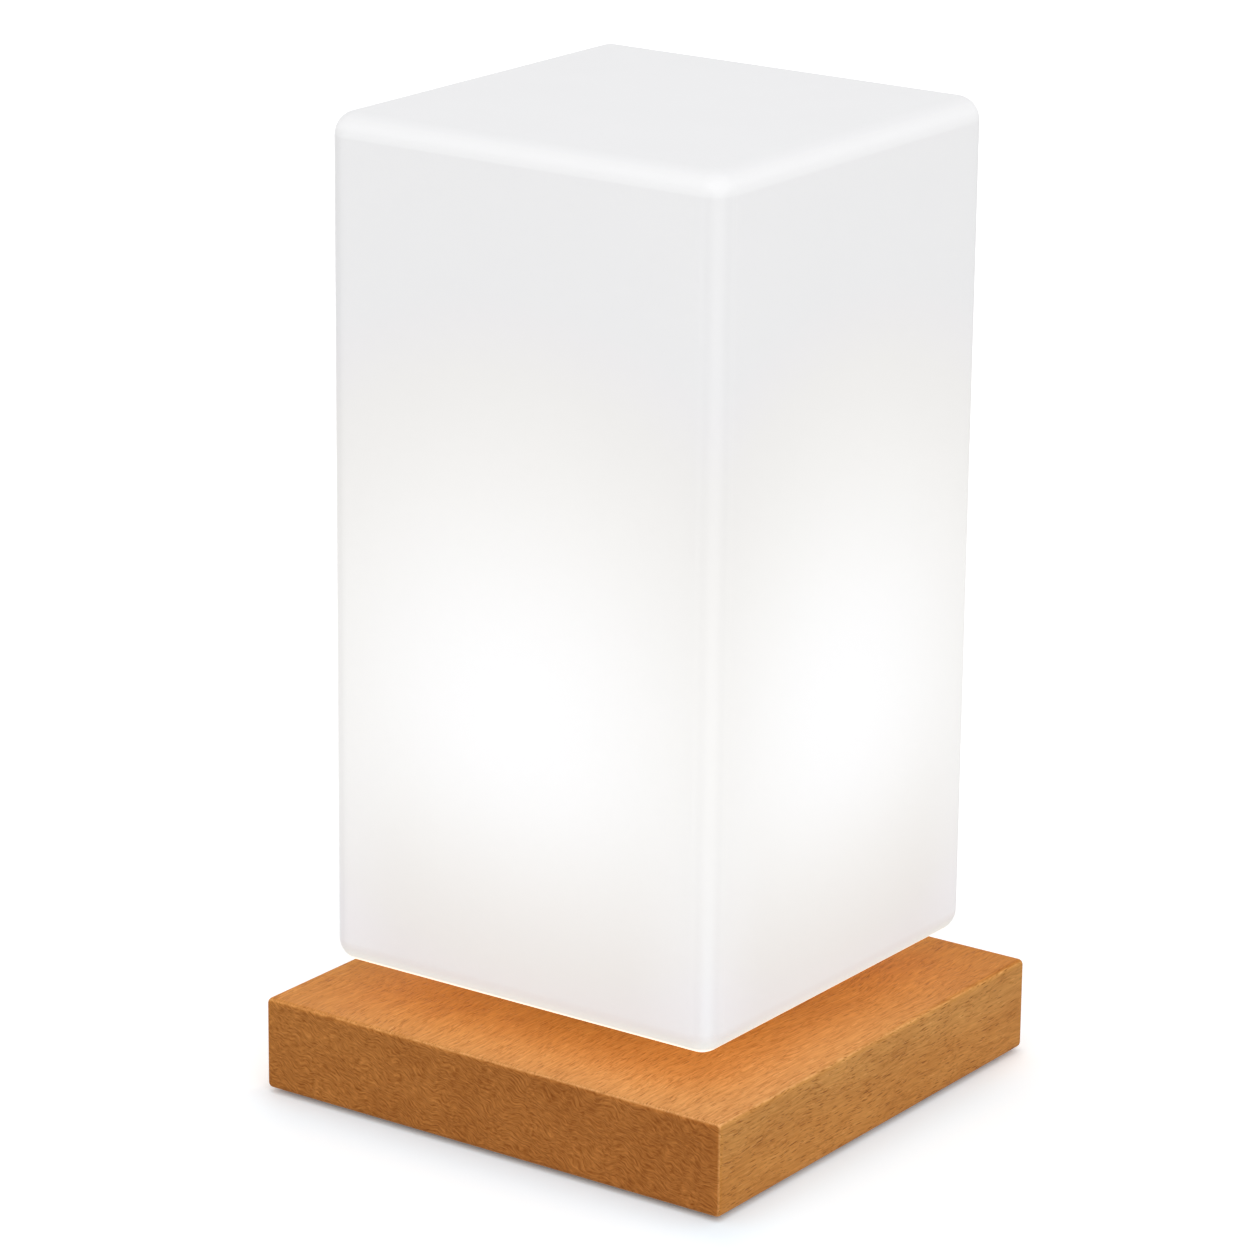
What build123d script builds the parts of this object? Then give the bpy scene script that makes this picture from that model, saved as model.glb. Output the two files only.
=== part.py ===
from build123d import *
import math
import os

# Rechargeable table lamp: a lit box shade floating on a bayonet neck above a square beech board.
# Millimetres, +Z up. The origin is the middle of the footprint, on the table.

# Beech board and its feet
wood_width = 120.0
wood_thickness = 21.0
wood_edge_round = 1.3
foot_diameter = 12.0
foot_seat = 0.8
foot_proud = 1.0
foot_inset = 13.0
foot_edge_chamfer = 0.4

# Shade
shade_width = 100.0
shade_height = 188.0
shade_edge_round = 5.2
shade_wall = 3.0
shade_least_inner_round = 0.8
float_gap = 8.0

# Bayonet between the neck and the shade floor
gasket_thickness = 1.0
spigot_wall = 2.7
lug_reach = 2.8
lug_height = 3.0
lug_lead_in = 0.8
shoulder_width = 3.5
lug_count = 3
lug_sweep = 36.0
tooth_sweep = 5.5
notch_play = 1.0
stop_play = 0.5

# Cells and the tower that holds them
cell_diameter = 18.4
cell_length = 65.0
cell_nub_diameter = 6.4
cell_nub_height = 0.9
cell_edge_chamfer = 0.8
tower_wall = 2.0
tower_lip_wall = 1.0
tower_lip_height = 4.0
cradle_floor = 1.6
cradle_cup = 5.0
cradle_flat_inset = 2.8
tab_thickness = 0.3
tab_width = 8.0
tab_tongue_width = 3.0
lead_diameter = 1.6
lead_offset = 5.5
solder_height = 0.6
solder_spread = 0.7

# Light source on top of the tower
led_plate_thickness = 2.0
led_board_thickness = 1.6
led_chip_width = 3.0
led_chip_height = 0.7
led_outer_count = 8
led_inner_count = 4
led_inner_radius = 5.0
cap_wall = 1.5
cap_height = 24.0
cap_shoulder = 6.0

# Pan in the pocket of the board, its cover and its electronics
pan_margin = 21.0
pan_wall = 2.5
pan_ceiling = 2.0
cover_thickness = 2.0
cover_recess = 1.2
cover_edge_chamfer = 0.5
seal_thickness = 1.0
control_board_thickness = 1.6
wire_room = 0.8
boss_wall = 1.7

# Push button and its switch
button_diameter = 14.0
button_proud = 0.4
button_flange = 1.4
button_flange_thickness = 0.9
button_travel = 0.8
button_edge_chamfer = 0.5
button_dish_depth = 0.25
switch_width = 6.0
switch_height = 2.5
plunger_diameter = 3.5
plunger_insert = 0.9
stroke_spare = 0.6

# Charging inlet and its light
socket_width = 8.94
socket_depth = 3.26
socket_shell_wall = 0.3
socket_recess = 0.3
socket_core = 1.5
tongue_width = 6.7
tongue_thickness = 0.7
tongue_recess = 0.5
socket_offset = 22.0
indicator_diameter = 3.0
indicator_flange = 0.8
indicator_flange_thickness = 0.8
indicator_side = 10.0

# Parts soldered under the control board: width, depth, height and the place of each centre
board_parts = {
    "coil": (6.0, 6.0, 3.0, -17.0, 9.0),
    "charger_chip": (4.0, 4.0, 0.9, 15.0, 10.0),
    "driver_chip": (5.0, 4.0, 1.2, -15.0, -9.0),
    "input_capacitor": (3.2, 1.6, 1.6, 8.0, 17.0),
    "output_capacitor": (3.2, 1.6, 1.6, -8.0, 17.0),
}
indicator_chip_width = 2.0
indicator_chip_height = 0.8

# Screws: shank diameter, head diameter and head height
module_screw = (3.0, 5.6, 1.8)
cover_screw = (3.0, 5.4, 1.4)
board_screw = (2.5, 4.4, 1.4)
cradle_screw = (2.2, 4.0, 1.1)
led_screw = (2.5, 4.4, 1.4)
module_screw_bite = 5.5
cover_screw_bite = 5.0
board_screw_bite = 3.2
cradle_screw_bite = 6.0
led_screw_bite = 5.0
screw_end_room = 0.5
screw_tip = 0.6
head_edge = 0.5
driver_span = 2.2
driver_arm = 0.7
driver_depth = 0.6
module_screw_count = 3
module_screw_angle = 30.0
cover_screw_count = 4
cover_screw_angle = 45.0
board_screw_count = 3
board_screw_angle = 90.0

# Clearances
slip_gap = 0.3
loose_gap = 0.4
screw_gap = 0.05
hole_gap = 0.2

# Heights, from the table up
z_wood = foot_proud
z_wood_top = z_wood + wood_thickness
z_shade = z_wood_top + float_gap
z_shade_floor = z_shade + shade_wall
z_shade_top = z_shade + shade_height
z_shoulder = z_shade - gasket_thickness
z_lug = z_shade_floor + slip_gap
z_lug_top = z_lug + lug_height

z_cover = z_wood + cover_recess
z_cover_top = z_cover + cover_thickness
z_rim = z_cover_top + seal_thickness
z_flange_top = z_cover_top + button_flange_thickness
z_switch = z_flange_top + button_travel + stroke_spare
z_board = z_switch + switch_height
z_board_top = z_board + control_board_thickness
z_cradle = z_board_top + wire_room
z_pan = z_cradle + cradle_floor
z_pocket = z_pan + pan_ceiling

z_cell = z_pan + tab_thickness
z_cell_top = z_cell + cell_length
z_upper_cradle = z_cell_top + tab_thickness
z_ledge = z_upper_cradle + cradle_floor + slip_gap
z_plate_top = z_ledge + led_plate_thickness
z_led_board_top = z_plate_top + led_board_thickness
z_lip_top = z_ledge + tower_lip_height
z_cap_top = z_plate_top + cap_height

# Radii, from the cells out
cell_radius = cell_diameter / 2
cell_offset = cell_radius + hole_gap
tower_inner = cell_offset + cell_radius + loose_gap
tower_outer = tower_inner + tower_wall
lip_inner = tower_outer - tower_lip_wall
cradle_radius = tower_inner - slip_gap
cradle_half_width = cradle_radius - cradle_flat_inset
plate_radius = lip_inner - hole_gap
cap_radius = plate_radius - screw_gap
cap_inner = cap_radius - cap_wall
led_board_radius = cap_inner - loose_gap
led_screw_offset = led_board_radius - led_screw[1] / 2 - hole_gap
rib_radius = led_screw[0] / 2 + boss_wall
lead_radius = lead_diameter / 2
lead_row = led_screw_offset
led_ring_radius = led_screw_offset - led_screw[1] / 2 - led_chip_width / 2

collar_inner = tower_outer + slip_gap
spigot_outer = collar_inner + spigot_wall
lug_outer = spigot_outer + lug_reach
collar_outer = spigot_outer + shoulder_width
module_screw_circle = (collar_inner + collar_outer) / 2
mouth_radius = spigot_outer + loose_gap
notch_radius = lug_outer + loose_gap

pan_outer = tower_outer + pan_margin
pan_inner = pan_outer - pan_wall
cover_boss = cover_screw[0] / 2 + boss_wall
cover_screw_circle = pan_inner - cover_boss + hole_gap
control_board_radius = cover_screw_circle - cover_boss - slip_gap
board_boss = board_screw[0] / 2 + boss_wall
board_screw_circle = control_board_radius - board_boss
button_radius = button_diameter / 2
indicator_radius = indicator_diameter / 2

# Bayonet angles: the notch in the shade floor swings by lock_turn from locked to free,
# and the tooth under each lug's trailing end stops it at both ends of the notch
notch_sweep = lug_sweep + 2 * notch_play
lug_start = -lug_sweep / 2
lock_turn = notch_sweep / 2 - lug_start - tooth_sweep - stop_play
notch_start = -notch_sweep / 2 - lock_turn


def disc(radius, low, high):
    """Upright cylinder between two heights."""
    return Pos(0, 0, (low + high) / 2) * Cylinder(radius, high - low)


def ring(outer, inner, low, high):
    """Upright tube between two heights."""
    return disc(outer, low, high) - disc(inner, low, high)


def block(width, depth, low, high):
    """Upright box between two heights."""
    return Pos(0, 0, (low + high) / 2) * Box(width, depth, high - low)


def turned(points, sweep=360.0):
    """Solid of revolution about Z from a closed outline of (radius, height) points."""
    outline = Polyline(*[(radius, 0, height) for radius, height in points], close=True)
    return revolve(make_face(outline), Axis.Z, sweep)


def all_at(places, piece):
    """Copies of one piece at each place, as a list."""
    return [place * piece for place in places]


def cross_recess():
    """Driver recess whose open side is at z = 0, reaching up."""
    bar = block(driver_span, driver_arm, 0, driver_depth)
    return bar + Rot(0, 0, 90) * bar


def pan_head_screw(size, length):
    """Screw pointing up: the head's seat is at z = 0 and the shank fills its hole but for screw_gap."""
    shank, head, head_height = size
    shank_radius = shank / 2 - screw_gap
    outline = [
        (0, -head_height),
        (head / 2 - head_edge, -head_height),
        (head / 2, -head_height + head_edge),
        (head / 2, 0),
        (shank_radius, 0),
        (shank_radius, length - screw_tip),
        (shank_radius - screw_tip, length),
        (0, length),
    ]
    return turned(outline) - Pos(0, 0, -head_height) * cross_recess()


def flat_head_screw(size, length):
    """Countersunk screw pointing up, with its flush head face at z = 0."""
    shank, head, head_height = size
    shank_radius = shank / 2 - screw_gap
    outline = [
        (0, 0),
        (head / 2, 0),
        (shank_radius, head_height),
        (shank_radius, length - screw_tip),
        (shank_radius - screw_tip, length),
        (0, length),
    ]
    return turned(outline) - cross_recess()


def countersink(size, depth):
    """Countersunk hole opening at z = 0 for a flat_head_screw, a little wider than the head."""
    shank, head, head_height = size
    outline = [
        (0, 0),
        (head / 2 + screw_gap, 0),
        (shank / 2 + screw_gap, head_height),
        (shank / 2 + screw_gap, depth),
        (0, depth),
    ]
    return turned(outline)


def pilot_hole(size, length):
    """Blind hole from z = 0 up for a screw's thread."""
    return disc(size[0] / 2, 0, length + screw_end_room)


def through_hole(size, length):
    """Clearance hole from z = 0 up for a screw's shank."""
    return disc(size[0] / 2 + hole_gap, 0, length)


def stadium(width, depth, low, high):
    """Upright bar with round ends, long in X."""
    return extrude(Pos(0, 0, low) * SlotOverall(width, depth), high - low)


module_places = PolarLocations(module_screw_circle, module_screw_count, module_screw_angle)
cover_places = PolarLocations(cover_screw_circle, cover_screw_count, cover_screw_angle)
board_places = PolarLocations(board_screw_circle, board_screw_count, board_screw_angle)
led_screw_places = [Pos(0, -led_screw_offset, 0), Pos(0, led_screw_offset, 0)]
foot_reach = wood_width / 2 - foot_inset
foot_places = GridLocations(2 * foot_reach, 2 * foot_reach, 2, 2)
cell_places = [Pos(-cell_offset, 0, 0), Pos(cell_offset, 0, 0)]
led_lead_places = [Pos(-lead_offset, -lead_row, 0), Pos(lead_offset, -lead_row, 0)]
low_tab_lead = Pos(-lead_offset, lead_row, 0)
top_tab_lead = Pos(lead_offset, lead_row, 0)
lead_places = [*led_lead_places, low_tab_lead, top_tab_lead]
socket_place = Pos(0, -socket_offset, 0)
indicator_place = Pos(indicator_side, -socket_offset, 0)


def make_wood_base():
    """Beech board with eased edges, a pocket below, a bore for the tower and seats for the feet."""
    board = block(wood_width, wood_width, z_wood, z_wood_top)
    board = fillet(board.edges(), wood_edge_round)
    board -= disc(pan_outer + slip_gap, z_wood, z_pocket)
    board -= disc(tower_outer + slip_gap, z_pocket, z_wood_top)
    board -= all_at(module_places, Pos(0, 0, z_pocket) * through_hole(module_screw, z_wood_top - z_pocket))
    board -= all_at(foot_places, disc(foot_diameter / 2 + hole_gap, z_wood, z_wood + foot_seat))
    return board


def make_foot_pads():
    """Four soft pads, sunk a little into the board."""
    pad = disc(foot_diameter / 2, 0, z_wood + foot_seat)
    pad = chamfer(pad.edges().sort_by(Axis.Z)[0], foot_edge_chamfer)
    return Compound(children=all_at(foot_places, pad))


def make_shade():
    """Hollow rounded box with one wall thickness and a three-notched bayonet mouth in its floor."""
    body = block(shade_width, shade_width, z_shade, z_shade_top)
    body = fillet(body.edges(), shade_edge_round)
    inner_width = shade_width - 2 * shade_wall
    hollow = block(inner_width, inner_width, z_shade_floor, z_shade_top - shade_wall)
    hollow = fillet(hollow.edges(), max(shade_edge_round - shade_wall, shade_least_inner_round))
    body -= hollow
    body -= disc(mouth_radius, z_shade, z_shade_floor)
    notch = turned(
        [
            (spigot_outer, z_shade),
            (notch_radius, z_shade),
            (notch_radius, z_shade_floor),
            (spigot_outer, z_shade_floor),
        ],
        notch_sweep,
    )
    for index in range(lug_count):
        body -= Rot(0, 0, notch_start + index * 360 / lug_count) * notch
    return body


def make_neck_collar():
    """Shouldered ring on the board whose spigot carries the lugs, each with a tooth that stops the turn."""
    collar = turned(
        [
            (collar_inner, z_wood_top),
            (collar_outer, z_wood_top),
            (collar_outer, z_shoulder),
            (spigot_outer, z_shoulder),
            (spigot_outer, z_lug_top),
            (collar_inner, z_lug_top),
        ]
    )
    root = (collar_inner + spigot_outer) / 2
    lug = turned(
        [
            (root, z_lug),
            (lug_outer, z_lug),
            (lug_outer, z_lug_top - lug_lead_in),
            (lug_outer - lug_lead_in, z_lug_top),
            (root, z_lug_top),
        ],
        lug_sweep,
    )
    tooth = turned(
        [
            (root, z_shade + slip_gap),
            (lug_outer, z_shade + slip_gap),
            (lug_outer, z_lug),
            (root, z_lug),
        ],
        tooth_sweep,
    )
    for index in range(lug_count):
        turn = Rot(0, 0, lug_start + index * 360 / lug_count)
        collar += turn * lug
        collar += turn * tooth
    collar -= all_at(module_places, Pos(0, 0, z_wood_top) * pilot_hole(module_screw, module_screw_bite))
    return collar


def make_shade_gasket():
    """Flat silicone ring on the neck's shoulder."""
    return ring(collar_outer - slip_gap, spigot_outer + slip_gap, z_shoulder, z_shade)


def make_module_screws():
    """Screws from the pan through the board into the neck."""
    length = z_wood_top - z_pan + module_screw_bite
    return Compound(children=all_at(module_places, Pos(0, 0, z_pan) * pan_head_screw(module_screw, length)))


def make_module_housing():
    """One moulding: the pan in the pocket, the tower round the cells and the bosses inside both."""
    housing = turned(
        [
            (pan_outer, z_rim),
            (pan_outer, z_pocket),
            (tower_outer, z_pocket),
            (tower_outer, z_lip_top),
            (lip_inner, z_lip_top),
            (lip_inner, z_ledge),
            (tower_inner, z_ledge),
            (tower_inner, z_pan),
            (pan_inner, z_pan),
            (pan_inner, z_rim),
        ]
    )
    web_reach = tower_inner + tower_wall / 2 - led_screw_offset
    web = Pos(0, led_screw_offset + web_reach / 2, 0) * block(2 * rib_radius, web_reach, z_pan, z_ledge)
    rib = web + Pos(0, led_screw_offset, 0) * disc(rib_radius, z_pan, z_ledge)
    rib -= Pos(0, led_screw_offset, z_pan) * pilot_hole(cradle_screw, cradle_screw_bite)
    hole_top = Pos(0, led_screw_offset, z_ledge) * Rot(180, 0, 0)
    rib -= hole_top * pilot_hole(led_screw, led_screw_bite)
    housing += rib
    housing += Rot(0, 0, 180) * rib
    housing += all_at(cover_places, disc(cover_boss, z_cover_top, z_pan))
    housing += all_at(board_places, disc(board_boss, z_board_top, z_pan))
    housing -= all_at(cover_places, Pos(0, 0, z_cover_top) * pilot_hole(cover_screw, cover_screw_bite))
    housing -= all_at(board_places, Pos(0, 0, z_board_top) * pilot_hole(board_screw, board_screw_bite))
    housing -= all_at(module_places, Pos(0, 0, z_pan) * through_hole(module_screw, pan_ceiling))
    return housing


def make_bottom_cover():
    """Round lid, recessed under the board, with the button's hole, the inlet's slot and the light's hole."""
    cover = disc(pan_outer, z_cover, z_cover_top)
    cover = chamfer(cover.edges().sort_by(Axis.Z)[0], cover_edge_chamfer)
    cover -= disc(button_radius + slip_gap, z_cover, z_cover_top)
    slot = stadium(socket_width + 2 * slip_gap, socket_depth + 2 * slip_gap, z_cover, z_cover_top)
    cover -= socket_place * slot
    cover -= indicator_place * disc(indicator_radius + screw_gap, z_cover, z_cover_top)
    cover -= all_at(cover_places, Pos(0, 0, z_cover) * countersink(cover_screw, cover_thickness))
    return cover


def make_cover_seal():
    """Flat seal between the pan's rim and the cover."""
    return ring(pan_outer - hole_gap, pan_inner + slip_gap, z_cover_top, z_rim)


def make_cover_screws():
    """Countersunk screws flush with the cover."""
    length = cover_thickness + cover_screw_bite
    return Compound(children=all_at(cover_places, Pos(0, 0, z_cover) * flat_head_screw(cover_screw, length)))


def make_control_board():
    """Round circuit board hung from three bosses of the pan."""
    board = disc(control_board_radius, z_board, z_board_top)
    board -= all_at(board_places, Pos(0, 0, z_board) * through_hole(board_screw, control_board_thickness))
    return board


def make_board_screws():
    """Screws that hold the control board to its bosses."""
    length = control_board_thickness + board_screw_bite
    return Compound(children=all_at(board_places, Pos(0, 0, z_board) * pan_head_screw(board_screw, length)))


def make_board_components():
    """Coil, chips, capacitors and the indicator's light, all soldered under the control board."""
    pieces = []
    for width, depth, height, x, y in board_parts.values():
        pieces.append(Pos(x, y, 0) * block(width, depth, z_board - height, z_board))
    light = block(indicator_chip_width, indicator_chip_width, z_board - indicator_chip_height, z_board)
    pieces.append(indicator_place * light)
    return Compound(children=pieces)


def make_switch_body():
    """Square switch case under the board, with a well for its plunger."""
    case = block(switch_width, switch_width, z_switch, z_board)
    well = plunger_insert + button_travel + slip_gap
    return case - disc(plunger_diameter / 2 + screw_gap, z_switch, z_switch + well)


def make_switch_plunger():
    """Plunger that the button carries into the switch."""
    return disc(plunger_diameter / 2, z_flange_top, z_switch + plunger_insert)


def make_power_button():
    """Cap in the cover's hole with a sunk face, and a flange inside that keeps it from falling out."""
    face = z_cover - button_proud
    sunk_face = face + button_dish_depth
    rim = button_radius - button_edge_chamfer
    dish_radius = rim - button_edge_chamfer
    return turned(
        [
            (0, sunk_face),
            (dish_radius - button_dish_depth, sunk_face),
            (dish_radius, face),
            (rim, face),
            (button_radius, face + button_edge_chamfer),
            (button_radius, z_cover_top),
            (button_radius + button_flange, z_cover_top),
            (button_radius + button_flange, z_flange_top),
            (0, z_flange_top),
        ]
    )


def make_charge_socket_shell():
    """Drawn metal shell of the upright charging inlet, open at the bottom."""
    mouth = z_cover + socket_recess
    outer = stadium(socket_width, socket_depth, mouth, z_board)
    wall = 2 * socket_shell_wall
    return socket_place * (outer - stadium(socket_width - wall, socket_depth - wall, mouth, z_board))


def make_charge_socket_tongue():
    """Moulded core of the inlet with the thin contact tongue."""
    shrink = 2 * (socket_shell_wall + screw_gap)
    core = stadium(socket_width - shrink, socket_depth - shrink, z_board - socket_core, z_board)
    tip = z_cover + socket_recess + tongue_recess
    core += block(tongue_width, tongue_thickness, tip, z_board - socket_core)
    return socket_place * core


def make_charge_indicator():
    """Flanged light pipe in the cover, under the indicator's light."""
    pipe = disc(indicator_radius, z_cover, z_cover_top)
    flange_top = z_cover_top + indicator_flange_thickness
    pipe += disc(indicator_radius + indicator_flange, z_cover_top, flange_top)
    return indicator_place * pipe


def make_battery_cells():
    """Two round cells side by side, each with a raised contact on top."""
    can_top = z_cell_top - cell_nub_height
    cell = disc(cell_radius, z_cell, can_top)
    cell = chamfer(cell.edges().filter_by(GeomType.CIRCLE), cell_edge_chamfer)
    cell += disc(cell_nub_diameter / 2, can_top, z_cell_top)
    return Compound(children=all_at(cell_places, cell))


def cradle(floor_low, floor_high, cup_low, cup_high):
    """Plate with two cups for the cells, flats at the sides and holes for the leads."""
    low = min(floor_low, cup_low)
    high = max(floor_high, cup_high)
    body = disc(cradle_radius, low, high)
    body = body & block(2 * cradle_half_width, 2 * cradle_radius, low, high)
    body -= all_at(cell_places, disc(cell_radius + hole_gap, cup_low, cup_high))
    body -= block(2 * cradle_half_width, tab_width + 2 * hole_gap, cup_low, cup_high)
    body -= all_at(lead_places, disc(lead_radius + loose_gap, low, high))
    return body


def rib_room(low, high):
    """Room in a cradle for the tower's two ribs."""
    depth = tower_outer - led_screw_offset
    wide = 2 * (rib_radius + slip_gap)
    room = Pos(0, led_screw_offset + depth / 2, 0) * block(wide, depth, low, high)
    room += Pos(0, led_screw_offset, 0) * disc(rib_radius + slip_gap, low, high)
    return [room, Rot(0, 0, 180) * room]


def tongue_room(place, low, high):
    """Channel in a cradle for a tab's tongue."""
    long = lead_row + tab_tongue_width / 2 + hole_gap
    wide = tab_tongue_width + 2 * hole_gap
    return Pos(place.position.X, long / 2, 0) * block(wide, long, low, high)


def make_cell_cradle_lower():
    """Cradle under the cells, screwed to the ends of the tower's ribs."""
    body = cradle(z_cradle, z_pan, z_pan, z_pan + cradle_cup)
    body -= rib_room(z_pan, z_pan + cradle_cup)
    body -= tongue_room(low_tab_lead, z_pan, z_cell + slip_gap)
    body -= all_at(led_screw_places, Pos(0, 0, z_cradle) * countersink(cradle_screw, cradle_floor))
    return body


def make_cell_cradle_upper():
    """Cradle on top of the cells, under the light source's plate."""
    floor_top = z_upper_cradle + cradle_floor
    body = cradle(z_upper_cradle, floor_top, z_upper_cradle - cradle_cup, z_upper_cradle)
    body -= rib_room(z_upper_cradle - cradle_cup, floor_top)
    body -= tongue_room(top_tab_lead, z_cell_top - slip_gap, z_upper_cradle)
    return body


def make_cradle_screws():
    """Countersunk screws under the lower cradle."""
    length = cradle_floor + cradle_screw_bite
    screw = Pos(0, 0, z_cradle) * flat_head_screw(cradle_screw, length)
    return Compound(children=all_at(led_screw_places, screw))


def battery_tab(place, low):
    """Welded strip across both cells with a tongue out to its lead."""
    span = 2 * cell_offset + tab_width
    strip = block(span, tab_width, low, low + tab_thickness)
    reach = lead_row + tab_tongue_width / 2
    tongue = block(tab_tongue_width, reach, low, low + tab_thickness)
    return strip + Pos(place.position.X, reach / 2, 0) * tongue


def make_battery_tabs():
    """The strips under and over the cells."""
    return Compound(children=[battery_tab(low_tab_lead, z_pan), battery_tab(top_tab_lead, z_cell_top)])


def lead(low, high, solder_at_top):
    """Straight insulated wire with a mound of solder on the board at its foot, and on its top if asked."""
    wire = disc(lead_radius, low, high)
    spread = lead_radius + solder_spread
    wire += turned([(0, low), (spread, low), (lead_radius, low + solder_height), (0, low + solder_height)])
    if solder_at_top:
        foot = high - solder_height
        wire += turned([(0, foot), (spread, foot), (lead_radius, high), (0, high)])
    return wire


def make_battery_leads():
    """Wires from the control board to the tongues of the two tabs."""
    short = low_tab_lead * lead(z_board_top, z_pan, False)
    tall = top_tab_lead * lead(z_board_top, z_cell_top, False)
    return Compound(children=[short, tall])


def make_led_leads():
    """Wires from the control board up the tower to the light source."""
    wire = lead(z_board_top, z_led_board_top + solder_height, True)
    return Compound(children=all_at(led_lead_places, wire))


def make_led_plate():
    """Aluminium plate on the tower's ledge that spreads the heat."""
    plate = disc(plate_radius, z_ledge, z_plate_top)
    plate -= all_at(led_screw_places, Pos(0, 0, z_ledge) * through_hole(led_screw, led_plate_thickness))
    plate -= all_at(led_lead_places, disc(lead_radius + hole_gap, z_ledge, z_plate_top))
    return plate


def make_led_board():
    """Round board for the light chips."""
    board = disc(led_board_radius, z_plate_top, z_led_board_top)
    board -= all_at(led_screw_places, Pos(0, 0, z_plate_top) * through_hole(led_screw, led_board_thickness))
    board -= all_at(led_lead_places, disc(lead_radius + hole_gap, z_plate_top, z_led_board_top))
    return board


def make_led_chips():
    """Light chips in an outer and an inner ring."""
    chip = block(led_chip_width, led_chip_width, z_led_board_top, z_led_board_top + led_chip_height)
    outer = all_at(PolarLocations(led_ring_radius, led_outer_count, 180 / led_outer_count), chip)
    inner = all_at(PolarLocations(led_inner_radius, led_inner_count, 180 / led_inner_count), chip)
    return Compound(children=[*outer, *inner])


def make_led_screws():
    """Screws through the light board and its plate into the tower's ribs."""
    length = led_board_thickness + led_plate_thickness + led_screw_bite
    screw = Pos(0, 0, z_led_board_top) * Rot(180, 0, 0) * pan_head_screw(led_screw, length)
    return Compound(children=all_at(led_screw_places, screw))


def make_led_cap():
    """Opal cap with a sloped shoulder on the plate, held inside the tower's lip."""
    inner_shoulder = cap_shoulder - cap_wall * (2 - math.sqrt(2))
    inner_top = z_cap_top - cap_wall
    return turned(
        [
            (cap_radius, z_plate_top),
            (cap_radius, z_cap_top - cap_shoulder),
            (cap_radius - cap_shoulder, z_cap_top),
            (0, z_cap_top),
            (0, inner_top),
            (cap_inner - inner_shoulder, inner_top),
            (cap_inner, inner_top - inner_shoulder),
            (cap_inner, z_plate_top),
        ]
    )


pieces = {
    "wood_base": make_wood_base(),
    "foot_pads": make_foot_pads(),
    "shade": make_shade(),
    "neck_collar": make_neck_collar(),
    "shade_gasket": make_shade_gasket(),
    "module_screws": make_module_screws(),
    "module_housing": make_module_housing(),
    "bottom_cover": make_bottom_cover(),
    "cover_seal": make_cover_seal(),
    "cover_screws": make_cover_screws(),
    "control_board": make_control_board(),
    "board_screws": make_board_screws(),
    "board_components": make_board_components(),
    "switch_body": make_switch_body(),
    "switch_plunger": make_switch_plunger(),
    "power_button": make_power_button(),
    "charge_socket_shell": make_charge_socket_shell(),
    "charge_socket_tongue": make_charge_socket_tongue(),
    "charge_indicator": make_charge_indicator(),
    "battery_cells": make_battery_cells(),
    "cell_cradle_lower": make_cell_cradle_lower(),
    "cell_cradle_upper": make_cell_cradle_upper(),
    "cradle_screws": make_cradle_screws(),
    "battery_tabs": make_battery_tabs(),
    "battery_leads": make_battery_leads(),
    "led_leads": make_led_leads(),
    "led_plate": make_led_plate(),
    "led_board": make_led_board(),
    "led_chips": make_led_chips(),
    "led_screws": make_led_screws(),
    "led_cap": make_led_cap(),
}

os.makedirs("parts", exist_ok=True)
for name, piece in pieces.items():
    export_step(piece, f"parts/{name}.step")
    print(name, "solids", len(piece.solids()), "volume", round(piece.volume, 1))
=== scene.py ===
# %% [markdown]
# # A cordless table lamp, dressed for a studio picture
# The lamp is a tall milk-white box that glows from inside and seems to float above a square board of oiled beech.
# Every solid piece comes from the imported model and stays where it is, so this lesson is about camera, light and
# finishes: how each surface of the lamp is made, and how a few small node trees can stand for it.

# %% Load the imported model
import math

import bpy
from mathutils import Matrix, Vector


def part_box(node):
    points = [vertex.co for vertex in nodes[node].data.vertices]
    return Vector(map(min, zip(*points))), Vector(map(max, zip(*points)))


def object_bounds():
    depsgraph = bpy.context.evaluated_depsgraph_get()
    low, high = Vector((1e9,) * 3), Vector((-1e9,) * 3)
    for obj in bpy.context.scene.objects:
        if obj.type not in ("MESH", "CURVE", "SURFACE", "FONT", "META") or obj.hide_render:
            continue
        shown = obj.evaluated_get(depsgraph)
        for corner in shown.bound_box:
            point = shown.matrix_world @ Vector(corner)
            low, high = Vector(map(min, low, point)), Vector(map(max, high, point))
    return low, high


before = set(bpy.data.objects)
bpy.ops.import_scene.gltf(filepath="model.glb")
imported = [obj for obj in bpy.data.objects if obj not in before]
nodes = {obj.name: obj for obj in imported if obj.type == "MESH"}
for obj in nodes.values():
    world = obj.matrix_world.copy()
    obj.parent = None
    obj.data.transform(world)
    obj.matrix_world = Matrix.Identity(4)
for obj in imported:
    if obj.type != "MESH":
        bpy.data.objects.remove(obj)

cad_low, cad_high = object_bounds()
scene = bpy.context.scene
scene.view_settings.view_transform = "Standard"
print("nodes", len(nodes), "box", [round(high - low, 4) for low, high in zip(cad_low, cad_high)])

# %% [markdown]
# ## Where the camera stands
# A product camera with a long lens stands a little over a metre away, above the shade's middle, and looks at one
# corner of the lamp, so that two sides and the top show. A camera can be aimed with a constraint, but a matrix
# built from three directions keeps every number of the shot in one place, the small roll included.

# %% Camera
azimuth = math.radians(35.26)
elevation = math.radians(17.32)
roll = math.radians(0.59)
eye_distance = 1.1787
eye_aside = -0.0048
eye_above = 0.0973
image_pixels = 1254
focal_pixels = 5324

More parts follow.
